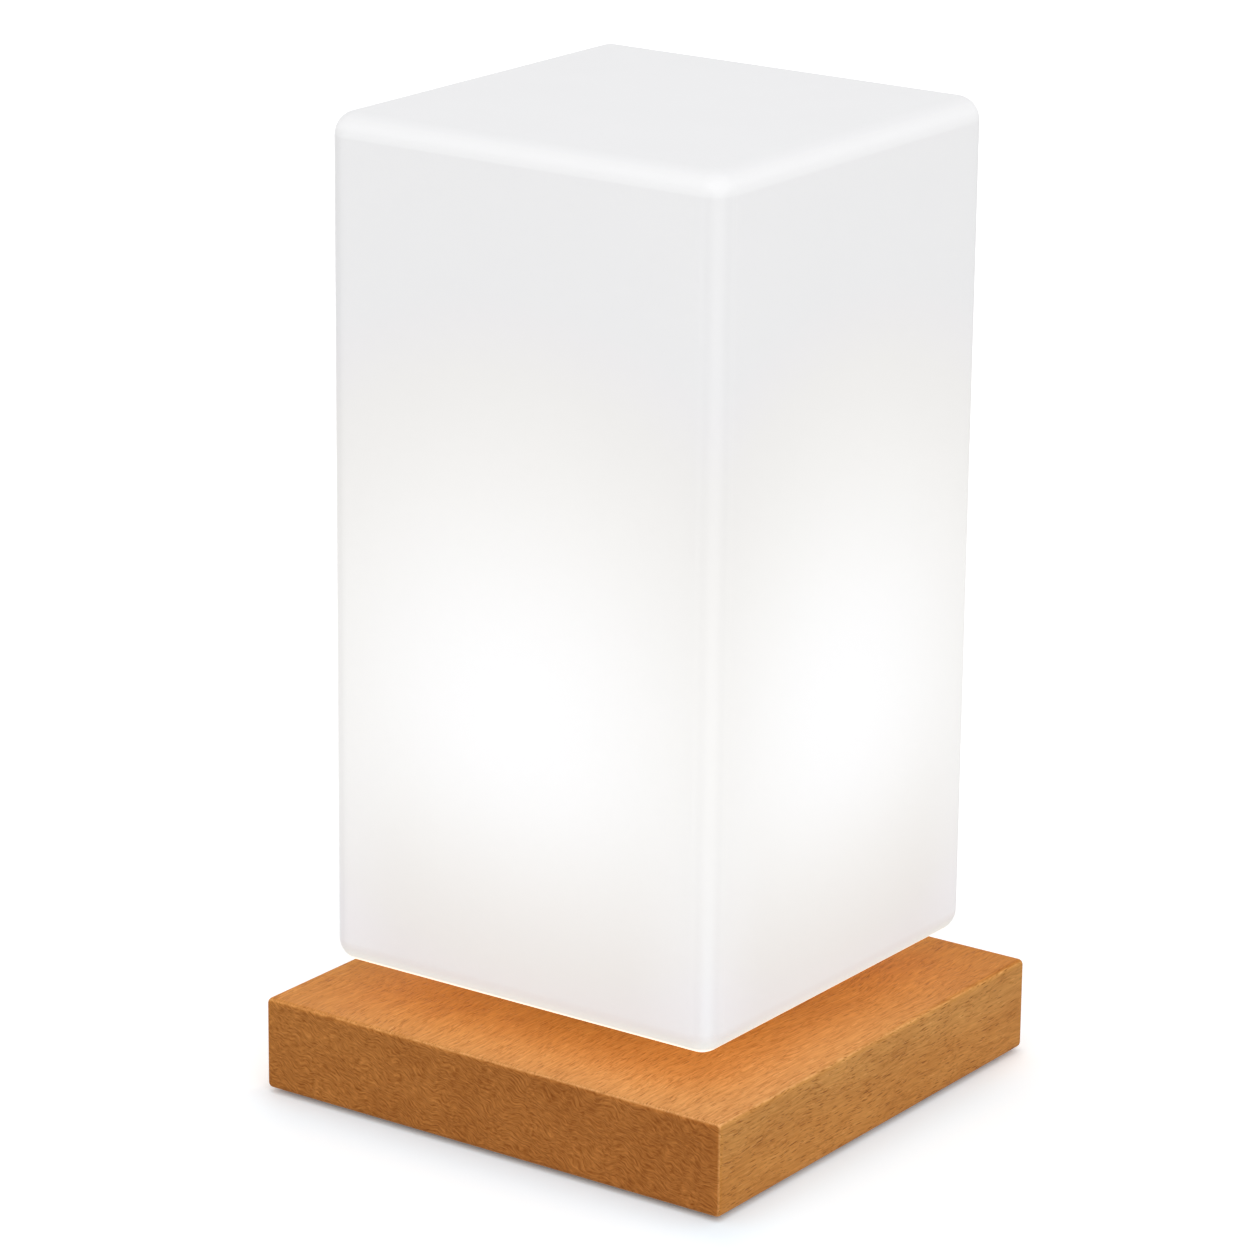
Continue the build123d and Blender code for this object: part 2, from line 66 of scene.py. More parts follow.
back = Vector((
    math.sin(azimuth) * math.cos(elevation),
    -math.cos(azimuth) * math.cos(elevation),
    math.sin(elevation),
))
level_side = Vector((0, 0, 1)).cross(back).normalized()
level_up = back.cross(level_side)
side = level_side * math.cos(roll) + level_up * math.sin(roll)
up = level_up * math.cos(roll) - level_side * math.sin(roll)

board_low, board_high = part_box("wood_base")
board_foot = Vector((0, 0, board_low.z))
eye_place = board_foot + back * eye_distance + side * eye_aside + up * eye_above
camera_data = bpy.data.cameras.new("camera")
camera_data.sensor_width = 36.0
camera_data.lens = camera_data.sensor_width * focal_pixels / image_pixels
camera_data.clip_start = 0.05
camera = bpy.data.objects.new("camera", camera_data)
scene.collection.objects.link(camera)
camera.matrix_world = Matrix.Translation(eye_place) @ Matrix((side, up, back)).transposed().to_4x4()
scene.camera = camera
print("lens", round(camera_data.lens, 1), "mm at", [round(value, 3) for value in eye_place])

# %% [markdown]
# ## Node helpers
# A material in Blender is a tree of small nodes. Wiring one by hand takes four lines a node, so three helpers do
# it: put() adds a node and links or sets its sockets, and calc() and calc_vector() are one sum each. Other helpers
# come where they are first needed.

# %% Helpers: nodes and sums
def put(tree, kind, settings=None, sockets=None):
    """Adds a node. A socket that is given another node's output is linked, and any other value is set."""
    node = tree.nodes.new("ShaderNode" + kind)
    for name, value in (settings or {}).items():
        setattr(node, name, value)
    for name, value in (sockets or {}).items():
        if isinstance(value, bpy.types.NodeSocket):
            tree.links.new(value, node.inputs[name])
        else:
            node.inputs[name].default_value = value
    return node


def calc(tree, operation, *values, clamp=False):
    """One sum on numbers."""
    settings = {"operation": operation, "use_clamp": clamp}
    return put(tree, "Math", settings, dict(enumerate(values))).outputs[0]


def calc_vector(tree, operation, *values):
    """One sum on vectors. A length or a dot product comes out as a number."""
    node = put(tree, "VectorMath", {"operation": operation}, dict(enumerate(values)))
    return node.outputs["Value" if operation in ("LENGTH", "DOT_PRODUCT") else "Vector"]


print("helpers for nodes and sums are ready")

# %% [markdown]
# ## Room light
# The picture is taken in a white tent: light comes from everywhere, a little more from above. A world colour is
# the simplest tent. Its light falls on the lamp at a plain level, while the camera, a mirror and clear plastic see
# pure white, which the Light Path node can tell apart.

# %% White tent
def seen_directly(tree):
    """1 on a ray of the eye, straight from the camera, off a mirror or through clear plastic, and 0 elsewhere."""
    path = put(tree, "LightPath").outputs
    seen = calc(tree, "ADD", path["Is Camera Ray"], path["Is Glossy Ray"])
    return calc(tree, "ADD", seen, path["Is Transmission Ray"], clamp=True)


white = (1, 1, 1, 1)
tent_level = 0.50
tent = bpy.data.worlds.new("white_tent")
tent.use_nodes = True
tree = tent.node_tree
tree.nodes.clear()
lighting = put(tree, "Background", None, {"Color": white, "Strength": tent_level}).outputs[0]
showing = put(tree, "Background", None, {"Color": white, "Strength": 1.0}).outputs[0]
mixed = put(tree, "MixShader", None, {0: seen_directly(tree), 1: lighting, 2: showing}).outputs[0]
put(tree, "OutputWorld", None, {"Surface": mixed})
scene.world = tent
print("tent level", tent_level)

# %% [markdown]
# Three soft boxes give the tent a direction. The large one hangs overhead, the second stands behind the camera and
# lights the near walls and the rounded edge between them, and a weaker one stands low behind the lamp and keeps the
# far walls clean. These two are left out of reflections, so that neither draws a gleam across the flat top for an
# eye on the other side. A lamp's watts mean little by themselves, so each is set by its level: the share of white
# that it lends to a surface that faces it.

# %% Soft boxes
def soft_box(name, where, width, level, gleams=True):
    """A square area light aimed at the middle of the lamp."""
    target = (cad_low + cad_high) / 2
    away = Vector(where) - target
    data = bpy.data.lights.new(name, "AREA")
    data.size = width
    data.energy = level * math.pi**2 * away.length_squared
    box = bpy.data.objects.new(name, data)
    box.location = where
    box.visible_glossy = gleams
    box.rotation_mode = "QUATERNION"
    box.rotation_quaternion = away.to_track_quat("Z", "Y")
    scene.collection.objects.link(box)
    print(name, round(data.energy, 2), "W at", round(away.length, 2), "m")


soft_box("overhead_box", where=(0.10, -0.15, 1.70), width=1.5, level=0.36)
soft_box("front_box", where=(1.18, -1.19, 1.15), width=0.9, level=0.18, gleams=False)
soft_box("back_box", where=(-1.10, 1.26, 0.46), width=0.9, level=0.13, gleams=False)

# %% [markdown]
# ## The table
# The lamp stands on white paper that runs out of the picture. Studios bend such paper up behind the object. Here the
# tent behind it is white as well, so a plain wide sheet is enough.

# %% Floor: the sheet
floor_reach = 6.0
floor_mesh = bpy.data.meshes.new("floor")
corners = [(x * floor_reach, y * floor_reach, 0.0) for x, y in ((-1, -1), (1, -1), (1, 1), (-1, 1))]
floor_mesh.from_pydata(corners, [], [(0, 1, 2, 3)])
floor = bpy.data.objects.new("floor", floor_mesh)
scene.collection.objects.link(floor)
print("floor", 2 * floor_reach, "m wide")

# %% [markdown]
# The paper and every finish after it ask for the same few things: a place in millimetres, its parts along the axes,
# a soft step from one value to another, and a mix of two colours.

# %% Helpers: places, steps and mixes
def millimetres(tree):
    """The place on the piece in millimetres, in the frame of the whole lamp."""
    place = put(tree, "TexCoord").outputs["Object"]
    return calc_vector(tree, "MULTIPLY", place, (1000.0, 1000.0, 1000.0))


def split_xyz(tree, vector):
    """The three parts of a vector."""
    return put(tree, "SeparateXYZ", None, {0: vector}).outputs


def ease(tree, value, start, end, low=0.0, high=1.0):
    """A soft step from low to high while value goes from start to end."""
    sockets = {"Value": value, "From Min": start, "From Max": end, "To Min": low, "To Max": high}
    return put(tree, "MapRange", {"interpolation_type": "SMOOTHSTEP"}, sockets).outputs["Result"]


def blend(tree, share, first, second, way="MIX"):
    """Two colours mixed by a share of the second."""
    settings = {"data_type": "RGBA", "blend_type": way}
    return put(tree, "Mix", settings, {0: share, 6: first, 7: second}).outputs[2]


def new_material(name):
    """A material with one Principled shader, its tree and that shader's inputs."""
    material = bpy.data.materials.new(name)
    material.use_nodes = True
    return material, material.node_tree, material.node_tree.nodes["Principled BSDF"].inputs


print("helpers for places, steps and mixes are ready")

# %% [markdown]
# The paper keeps the soft shadow round the board. Wood throws a warm light on paper, and a slightly cool paper
# close to the board, on the side of the camera, takes that back to grey.

# %% Floor: the paper
paper_near = (0.80, 0.895, 0.965, 1)
paper_far = (0.90, 0.90, 0.90, 1)
paper_lighting = (0.60, 0.60, 0.60, 1)
to_near_corner = (0.66, -0.75, 0.0)
front_span = (-8.0, 24.0)
cool_span = (24.0, 4.0)
paper, tree, surface = new_material("white_paper")
surface["Roughness"].default_value = 0.9
seen = seen_directly(tree)
place = millimetres(tree)
aside, along, _ = split_xyz(tree, calc_vector(tree, "ABSOLUTE", place))
from_board = calc(tree, "SUBTRACT", calc(tree, "MAXIMUM", aside, along), board_high.x * 1000)
front = ease(tree, calc_vector(tree, "DOT_PRODUCT", place, to_near_corner), *front_span)
close = calc(tree, "MULTIPLY", ease(tree, from_board, *cool_span), front)
paper_seen = blend(tree, close, paper_far, paper_near)
tree.links.new(blend(tree, seen, paper_lighting, paper_seen), surface["Base Color"])
print("cool paper within", cool_span[0], "mm of the board")

# %% [markdown]
# Away from the board the paper has to be pure white, so that it meets the white tent without a line. More light
# would wash out the lamp, so a small glow that only the eye sees lifts the paper instead. It is weakest under the
# board, where the shadow is deepest, and rises more slowly in front of the board than behind it, so near the board
# it paints the paper darker: a painted shadow that deepens the real one in front of the board and thins it behind.

# %% Floor: the lift to white
contact_lift = 0.05
edge_lift = 0.24
near_lift = 0.30
back_lift = 0.035
far_lift = 0.60
contact_span = (-5.0, 0.5)
far_span = (60.0, 440.0)
rise_behind = 2.0
rise_in_front = 12.0
# Painted shadow: a low lift near the board paints the paper there darker than its light alone makes it.
lift = ease(tree, from_board, *contact_span, contact_lift, edge_lift)
rise = calc(tree, "MULTIPLY_ADD", front, rise_in_front - rise_behind, rise_behind)
step = calc(tree, "MULTIPLY_ADD", front, -back_lift, near_lift - edge_lift + back_lift)
lift = calc(tree, "ADD", lift, ease(tree, from_board, 0.0, rise, 0.0, step))
lift = calc(tree, "ADD", lift, ease(tree, from_board, *far_span, 0.0, far_lift - near_lift))
surface["Emission Color"].default_value = white
tree.links.new(calc(tree, "MULTIPLY", seen, lift), surface["Emission Strength"])
floor_mesh.materials.append(paper)
print("paper lifted by", contact_lift, "under the board and", far_lift, "far from it")

# %% [markdown]
# ## Moulded skin
# Nearly every plastic piece of the lamp comes out of a mould whose steel was etched, so its skin has a fine matt
# grain, and it has cooled a little unevenly, which shows as faint clouds in the gloss. The same effect with other
# sizes serves the shade, the neck, the cover, the button and the black parts, so it is one node group. Groups
# need sockets, and skin needs noise, so a few more helpers come first.

# %% Helpers: groups and noise
def new_group(name, inputs, outputs):
    """A shader node group with named sockets. Returns it with what comes in and what goes out."""
    group = bpy.data.node_groups.new(name, "ShaderNodeTree")
    for label, kind, value in inputs:
        socket = group.interface.new_socket(name=label, in_out="INPUT", socket_type="NodeSocket" + kind)
        socket.default_value = value
    for label, kind in outputs:
        group.interface.new_socket(name=label, in_out="OUTPUT", socket_type="NodeSocket" + kind)
    return group, group.nodes.new("NodeGroupInput").outputs, group.nodes.new("NodeGroupOutput").inputs


def times(tree, vector, factor):
    """A vector or a colour times a number."""
    return put(tree, "VectorMath", {"operation": "SCALE"}, {"Vector": vector, "Scale": factor}).outputs[0]


def noise_at(tree, vector, detail, rough=0.5):
    """Cloudy noise, from 0 to 1, with about one wave for each unit of a vector."""
    sockets = {"Vector": vector, "Scale": 1.0, "Detail": detail, "Roughness": rough}
    return put(tree, "TexNoise", None, sockets).outputs


def noise(tree, where, waves, detail=2.0, rough=0.5):
    """Cloudy noise with this many waves a millimetre along each axis."""
    return noise_at(tree, calc_vector(tree, "MULTIPLY", where, waves), detail, rough)


def about_zero(tree, value):
    """A value from 0 to 1, moved so that it swings about zero."""
    return calc(tree, "SUBTRACT", value, 0.5)


print("helpers for groups and noise are ready")

# %% Group: moulded skin
skin_cloud_waves = (0.06, 0.06, 0.045)
moulded_skin, given, out = new_group(
    "moulded_skin",
    [("Colour", "Color", (0.8, 0.8, 0.8, 1)), ("Grain", "Float", 3.0), ("Depth", "Float", 0.004),
     ("Gloss", "Float", 0.45), ("Clouds", "Float", 0.05)],
    [("Colour", "Color"), ("Roughness", "Float"), ("Height", "Float")],
)
tree = moulded_skin
where = millimetres(tree)
grain = noise_at(tree, times(tree, where, given["Grain"]), detail=1.0)["Fac"]
cloud = noise(tree, where, skin_cloud_waves, detail=3.0)["Fac"]
swing = calc(tree, "MULTIPLY", about_zero(tree, cloud), given["Clouds"])
tree.links.new(times(tree, given["Colour"], calc(tree, "ADD", 1.0, swing)), out["Colour"])
tree.links.new(calc(tree, "SUBTRACT", given["Gloss"], swing), out["Roughness"])
tree.links.new(calc(tree, "MULTIPLY", grain, given["Depth"]), out["Height"])
print("group", moulded_skin.name, "with", len(tree.nodes), "nodes")

# %% [markdown]
# ## Rubbed edges and painted edge highlights
# Hands, a cloth and the sanding block reach edges first, so an edge is paler than the faces beside it. On the board
# the paler edge is also a painted highlight: the bright line where a small round catches the light. Wear is often
# found by measuring how sharply a mesh bends. The straight edges of this lamp are small rounds, and there the normal
# points between two axes, so its largest part tells how near the middle of an edge a point is. Noise breaks the
# line up.

# %% Group: rubbed edges, also a painted highlight on the board
def facing_way(tree):
    """The way that the surface faces, in the frame of the whole lamp."""
    return put(tree, "TexCoord").outputs["Normal"]


edge_span = (0.89, 0.75)
break_span = (0.30, 0.58)
edge_wear_and_highlight, given, out = new_group(
    "edge_wear_and_highlight", [("Break", "Float", 0.3), ("Amount", "Float", 1.0)], [("Mask", "Float")],
)
tree = edge_wear_and_highlight
facing_x, facing_y, facing_z = split_xyz(tree, calc_vector(tree, "ABSOLUTE", facing_way(tree)))
largest = calc(tree, "MAXIMUM", calc(tree, "MAXIMUM", facing_x, facing_y), facing_z)
breaks = noise_at(tree, times(tree, millimetres(tree), given["Break"]), detail=3.0)["Fac"]
# Paler edge mask: wear, and on the board a painted highlight.
line = calc(tree, "MULTIPLY", ease(tree, largest, *edge_span), ease(tree, breaks, *break_span))
tree.links.new(calc(tree, "MULTIPLY", line, given["Amount"]), out["Mask"])
print("group", edge_wear_and_highlight.name, "with", len(tree.nodes), "nodes")

# %% [markdown]
# ## Touch marks
# Where fingers lift the shade, press the button or turn the lamp over, they leave a thin film that is a little
# glossier than the skin around it. It has no colour of its own, so the group only gives a mask for the roughness:
# large soft patches, smeared in one direction by a finer streak.

# %% Group: touch marks
patch_waves = (0.035, 0.035, 0.05)
patch_span = (0.48, 0.66)
streak_waves = (0.9, 0.9, 0.16)
touch_marks, given, out = new_group("touch_marks", [("Amount", "Float", 0.06)], [("Film", "Float")])
tree = touch_marks
where = millimetres(tree)
patch = ease(tree, noise(tree, where, patch_waves)["Fac"], *patch_span)
film = calc(tree, "MULTIPLY", patch, noise(tree, where, streak_waves)["Fac"])
tree.links.new(calc(tree, "MULTIPLY", film, given["Amount"]), out["Film"])
print("group", touch_marks.name, "with", len(tree.nodes), "nodes")

# %% [markdown]
# ## A moulding's material
# Every moulding is put together in the same way: skin first, then a paler colour where edges rub, then the film of
# fingers, and last the grain as relief. One function does this, and each piece gives it its own values.

# %% Moulding
def place_group(tree, group, sockets):
    """Puts a group in a tree and returns its outputs."""
    return put(tree, "Group", {"node_tree": group}, sockets).outputs


def relief(tree, surface, height):
    """Turns a height in millimetres into the shader's normal. A second height takes the place of the first."""
    if surface["Normal"].is_linked:
        bump = surface["Normal"].links[0].from_node
    else:
        bump = put(tree, "Bump", None, {"Distance": 0.001, "Strength": 1.0})
        tree.links.new(bump.outputs["Normal"], surface["Normal"])
    tree.links.new(height, bump.inputs["Height"])


def dress(material, *names):
    """Gives CAD nodes a finish in place of the one that they came with."""
    for name in names:
        nodes[name].material_slots[0].material = material
    print(material.name, "on", ", ".join(names))


moulding_rub = {"Break": 0.5, "Amount": 0.7}


def moulding(name, colour, grain, depth, gloss, clouds=0.05, rubbed=None, touched=0.0):
    """Moulded skin, with a paler colour on its rubbed edges and a film of touch marks where they are asked for."""
    material, tree, surface = new_material(name)
    skin = place_group(tree, moulded_skin, {
        "Colour": (*colour, 1), "Grain": grain, "Depth": depth, "Gloss": gloss, "Clouds": clouds,
    })
    shown, rough = skin["Colour"], skin["Roughness"]
    if rubbed:
        shown = blend(tree, place_group(tree, edge_wear_and_highlight, moulding_rub)["Mask"], shown, (*rubbed, 1))
    if touched:
        rough = calc(tree, "SUBTRACT", rough, place_group(tree, touch_marks, {"Amount": touched})["Film"])
    tree.links.new(shown, surface["Base Color"])
    tree.links.new(rough, surface["Roughness"])
    relief(tree, surface, skin["Height"])
    return material, tree, surface


print("a moulding joins", ", ".join(group.name for group in (moulded_skin, edge_wear_and_highlight, touch_marks)))

# %% [markdown]
# ## The lit shade
# The shade is one hollow moulding in milky plastic, matt outside, with the light source a third of the way up.
# Milky plastic spreads light sideways, so each wall glows over its whole face and is brightest opposite the source.
# A full light simulation through the wall would be slow and grainy. Written as a formula in the lamp's own frame,
# the glow is the same from every side. Its first part is a bright field round the source, which falls off with
# distance, sooner below than above, and sooner in blue than in red, so that its rim is a little warm.

# %% Shade: the bright field
def join_xyz(tree, x, y, z=0.0):
    """A vector from three parts."""
    return put(tree, "CombineXYZ", None, {0: x, 1: y, 2: z}).outputs[0]


shade_low, shade_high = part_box("shade")
half_width = (shade_high.x - shade_low.x) / 2 * 1000
source_height = 94.0
field_reach = 48.0
field_floor = 0.16
field_narrowing = (1.0, 1.13, 1.5)
squeeze_below = 1.4
shade_plastic, tree, surface = moulding(
    "shade_plastic", (0.74, 0.74, 0.75), grain=2.2, depth=0.004, gloss=0.46, clouds=0.02, touched=0.05,
)
x, y, z = split_xyz(tree, millimetres(tree))
rise = calc(tree, "SUBTRACT", z, source_height)
below = calc(tree, "MULTIPLY", calc(tree, "MINIMUM", rise, 0.0), squeeze_below)
rise = calc(tree, "ADD", calc(tree, "MAXIMUM", rise, 0.0), below)
apart = calc(tree, "POWER", calc_vector(tree, "LENGTH", join_xyz(tree, x, y, rise)), 2.0)
fall = calc(tree, "DIVIDE", calc(tree, "SUBTRACT", half_width**2, apart), 2 * field_reach**2)
field = [calc(tree, "EXPONENT", calc(tree, "MULTIPLY", fall, narrow)) for narrow in field_narrowing]
field = calc_vector(tree, "SUBTRACT", join_xyz(tree, *field), (field_floor,) * 3)
field = calc_vector(tree, "MAXIMUM", field, (0.0, 0.0, 0.0))
print("field from", source_height, "mm, shade half width", round(half_width, 1), "mm")

# %% [markdown]
# The second part is an even glow. The roof is farther from the source and gets less of it, and the rounded upper
# edges get a little more, a painted highlight. Near the foot the flat walls are painted warm, a painted reflection of
# the wood.

# %% Shade: the even glow
even_glow = 0.3435
roof_share = 0.478
painted_rim_highlight = 0.075
field_peak = 0.175
painted_wood_warmth = (0.96, 0.905, 0.88, 1)
foot_span = (80.0, 32.0)
flat_span = (0.72, 0.98)
facing_x, facing_y, facing_up = split_xyz(tree, facing_way(tree))
even = ease(tree, facing_up, 0.0, 1.0, even_glow, even_glow * roof_share)
# Painted highlight: a little more glow on the rounded upper edges.
painted_rim = calc(tree, "MULTIPLY", facing_up, calc(tree, "SUBTRACT", 1.0, facing_up))
painted_rim = calc(tree, "MAXIMUM", calc(tree, "MULTIPLY", painted_rim, 4 * painted_rim_highlight), 0.0)
even = calc(tree, "ADD", even, painted_rim)
squarely = calc(tree, "MAXIMUM", calc(tree, "ABSOLUTE", facing_x), calc(tree, "ABSOLUTE", facing_y))
# Painted reflection: the glow of the low flat walls is tinted warm, as if lit by the wood.
painted_foot_share = calc(tree, "MULTIPLY", ease(tree, z, *foot_span), ease(tree, squarely, *flat_span))
glow = times(tree, blend(tree, painted_foot_share, white, painted_wood_warmth), even)
glow = calc_vector(tree, "MULTIPLY_ADD", field, (field_peak / (1 - field_floor),) * 3, glow)
print("walls glow by", even_glow, "and", field_peak, "more in the field")

# %% [markdown]
# The upright edges are painted darker as they start to turn, a painted shade, and a faint painted highlight runs
# down their middle. Low on the shade the walls are painted paler and cooler towards each corner, a painted
# highlight.

# %% Shade: the upright edges
def triple(tree, value):
    """A vector or a colour with the same number in its three parts."""
    return join_xyz(tree, value, value, value)


painted_edge_shade = 0.030
fade_span = (0.999, 0.95)
painted_edge_highlight = 0.024
ridge_span = (0.92, 0.78)
above_foot_round = (-0.4, 0.0)
below_top_round = (0.5, 0.1)
painted_low_corner_light = (0.030, 0.036, 0.050)
low_span = (95.0, 40.0)
corner_span = (28.0, 47.0)
# Painted shade and highlight: the glow is lowered where the upright edges start to turn, and raised a little along
# their middle.
corner = ease(tree, squarely, *fade_span, 0.0, -painted_edge_shade)
corner = calc(tree, "ADD", corner, ease(tree, squarely, *ridge_span, 0.0, painted_edge_highlight))
upright = ease(tree, facing_up, *above_foot_round)
upright = calc(tree, "MULTIPLY", upright, ease(tree, facing_up, *below_top_round))
glow = calc_vector(tree, "ADD", glow, triple(tree, calc(tree, "MULTIPLY", corner, upright)))
# Painted highlight: low on the shade the glow is raised, paler and cooler, towards each upright edge.
beside = calc(tree, "MINIMUM", calc(tree, "ABSOLUTE", x), calc(tree, "ABSOLUTE", y))
painted_low_corner = calc(tree, "MULTIPLY", ease(tree, z, *low_span), ease(tree, beside, *corner_span))
painted_low_corner = calc(tree, "MULTIPLY", painted_low_corner, upright)
glow = calc_vector(tree, "ADD", glow, times(tree, painted_low_corner_light, painted_low_corner))
print("low corners lifted from", corner_span[0], "mm off the middle of a wall")

# %% [markdown]
# Where the wall turns in at the foot it is painted brighter, and a thin cream line at the very edge is a painted
# highlight. The floor of the shade lets light out on to the board. The skin is nearly without gloss: a milky wall
# that is lit from inside outshines what little it reflects.

# %% Shade: the foot
painted_foot_light = (0.07, 0.17, 0.17)
turning_span = (-0.05, -0.75)
painted_line_highlight = (1.0, 0.94, 0.82, 1)
line_span = (-0.67, -0.78)
floor_glow = (0.46, 0.44, 0.27, 1)
floor_span = (-0.95, -0.99)
# Painted light: the turned foot is brightened, and its very edge gets a painted cream highlight line.
glow = calc_vector(tree, "ADD", glow, times(tree, painted_foot_light, ease(tree, facing_up, *turning_span)))
glow = blend(tree, ease(tree, facing_up, *line_span), glow, painted_line_highlight)
glow = blend(tree, ease(tree, facing_up, *floor_span), glow, floor_glow)
tree.links.new(glow, surface["Emission Color"])
surface["Emission Strength"].default_value = 1.0
surface["Specular IOR Level"].default_value = 0.02
dress(shade_plastic, "shade")

# %% [markdown]
# ## Oiled beech
# The board is cut from one plank with its grain along Y. Beech shows short dark flecks where its rays are cut, fine
# fibres between them and a slow drift of tone. A texture that fills space, not one wrapped on faces, lets flecks run
# over the edges as they do in wood. All of it hangs on one set of places: millimetres that sway a little, because no
# plank has grown quite straight. Towards the corner that faces the camera the plank is painted paler: a painted
# reflection of the lit shade.

# %% Beech: tone and fibre
def sway(tree, where, waves, reach, start):
    """Shifts places across the grain by a noise that reaches this many millimetres from end to end."""
    push = calc_vector(tree, "SUBTRACT", noise(tree, where, waves)["Color"], (0.5, 0.5, 0.5))
    return calc_vector(tree, "MULTIPLY_ADD", push, (reach, 0.0, reach), start)


# Painted reflection: the plank is painted paler towards the corner that faces the camera.
to_painted_light_corner = (0.52, -0.70, 0.0)
painted_light_span = (-30.0, 65.0)
beech, tree, surface = new_material("oiled_beech")
where = millimetres(tree)
along = sway(tree, where, (0.016, 0.016, 0.016), 9.0, where)
along = sway(tree, where, (0.11, 0.07, 0.11), 1.6, along)
cloud = noise(tree, along, (0.050, 0.016, 0.075), detail=3.0)["Fac"]
fibre = noise(tree, along, (2.2, 0.12, 2.2), detail=3.0, rough=0.62)["Fac"]
painted_light_corner = ease(tree, calc_vector(tree, "DOT_PRODUCT", where, to_painted_light_corner), *painted_light_span)
print("beech tree", len(tree.nodes), "nodes so far")

# %% [markdown]
# Flecks are short strokes along the grain, long and short, dark and pale, and they stand closer in some parts of the
# plank than in others. Drawing them one by one would take thousands of strokes. Voronoi cells scatter one point in
# each cell of space, and an ellipsoid round each point is a fleck. Thin broken veins run between them.

# %% Beech: flecks
fleck_core = 0.45


def flecks(tree, where, cell, half_size, share):
    """Short strokes: in this share of the cells, an ellipsoid of this half size round a random point is marked."""
    spacing = tuple(1 / size for size in cell)
    scaled = calc_vector(tree, "MULTIPLY", where, spacing)
    point = put(tree, "TexVoronoi", None, {"Vector": scaled, "Scale": 1.0, "Randomness": 1.0}).outputs
    offset = calc_vector(tree, "SUBTRACT", scaled, point["Position"])
    reach = tuple(size / half for size, half in zip(cell, half_size))
    apart = calc_vector(tree, "LENGTH", calc_vector(tree, "MULTIPLY", offset, reach))
    chosen = calc(tree, "LESS_THAN", put(tree, "SeparateColor", None, {0: point["Color"]}).outputs[0], share)
    return calc(tree, "MULTIPLY", ease(tree, apart, 1.0, fleck_core), chosen)


def veins(tree, where, waves, width):
    """Thin wavy lines: the places where a stretched noise passes its middle value."""
    apart = about_zero(tree, noise(tree, where, waves, detail=1.0)["Fac"])
    return ease(tree, calc(tree, "ABSOLUTE", apart), width, 0.25 * width)


crowd_span, crowd_least = (0.30, 0.62), 0.35
broken_span = (0.40, 0.56)
crowd = noise(tree, along, (0.05, 0.03, 0.05))["Fac"]
crowd = ease(tree, crowd, *crowd_span, crowd_least, 1.0)
broken = ease(tree, noise(tree, along, (0.32, 0.10, 0.32), detail=1.0)["Fac"], *broken_span)
vein = calc(tree, "MULTIPLY", veins(tree, along, (1.2, 0.15, 1.2), width=0.055), broken)
long_share = calc(tree, "MULTIPLY", crowd, 0.80)
long_fleck = flecks(tree, along, (0.64, 3.6, 0.64), (0.17, 1.6, 0.17), long_share)
short_share = calc(tree, "MULTIPLY", crowd, 0.70)
short_fleck = flecks(tree, along, (0.48, 2.1, 0.48), (0.13, 0.8, 0.13), short_share)
pale_fleck = flecks(tree, along, (0.8, 3.4, 0.8), (0.17, 1.5, 0.17), share=0.6)
fleck = calc(tree, "MAXIMUM", long_fleck, calc(tree, "MULTIPLY", short_fleck, 0.7))
print("beech tree", len(tree.nodes), "nodes so far")

# %% [markdown]
# The two ends of the board show cut fibres. They drink more oil and turn darker, and the saw and the rays leave
# small slanting strokes that curl, some pale, some dark. A noise that is turned in the end's plane and stretched
# gives them. The normal says which faces are ends and which are long sides.

# %% Beech: end grain
face_span = (0.55, 0.92)
stroke_slant = math.radians(-19)
facing_x, facing_y, _ = split_xyz(tree, facing_way(tree))
end_face = ease(tree, calc(tree, "ABSOLUTE", facing_y), *face_span)
side_face = ease(tree, calc(tree, "ABSOLUTE", facing_x), *face_span)
curled = sway(tree, where, (0.14, 0.05, 0.14), 6.0, where)
turned = put(tree, "VectorRotate", {"rotation_type": "Y_AXIS"}, {"Vector": curled, "Angle": stroke_slant}).outputs[0]
stroke = noise(tree, turned, (0.50, 0.05, 2.4), detail=3.0, rough=0.60)["Fac"]
print("strokes slant by", round(math.degrees(stroke_slant)), "degrees")

# %% [markdown]
# Colour comes in layers, from the widest to the finest: clouds, fibres, veins, pale and dark flecks. The wide layers
# are colours, and the fine ones multiply them, blue more than red, because wood turns redder as it turns darker.
# The long sides are cut across other layers of the plank than the top, so they have a tone of their own and deeper
# flecks.

# %% Beech: colour
def shift(tree, colour, value, swing):
    """Multiplies a colour by one plus a swing for each channel times a value that goes about zero."""
    factor = calc_vector(tree, "MULTIPLY_ADD", triple(tree, value), swing, (1.0, 1.0, 1.0))
    return calc_vector(tree, "MULTIPLY", colour, factor)


plank_dark, plank_light = (0.580, 0.201, 0.029, 1), (0.687, 0.271, 0.049, 1)
plank_painted_light = (0.820, 0.374, 0.122, 1)
side_low, side_high = (0.700, 0.290, 0.065, 1), (0.770, 0.355, 0.093, 1)
layer_span = (9.0, 19.0)
side_swing = (0.55, 0.80, 1.20)
fibre_swing = (0.72, 1.00, 1.45)
vein_stain, pale_stain, fleck_stain = (0.71, 0.58, 0.42, 1), (1.14, 1.28, 1.50, 1), (0.54, 0.40, 0.27, 1)
top_depth, side_deeper = 0.58, 0.24
plank = blend(tree, ease(tree, cloud, 0.3, 0.7), plank_dark, plank_light)
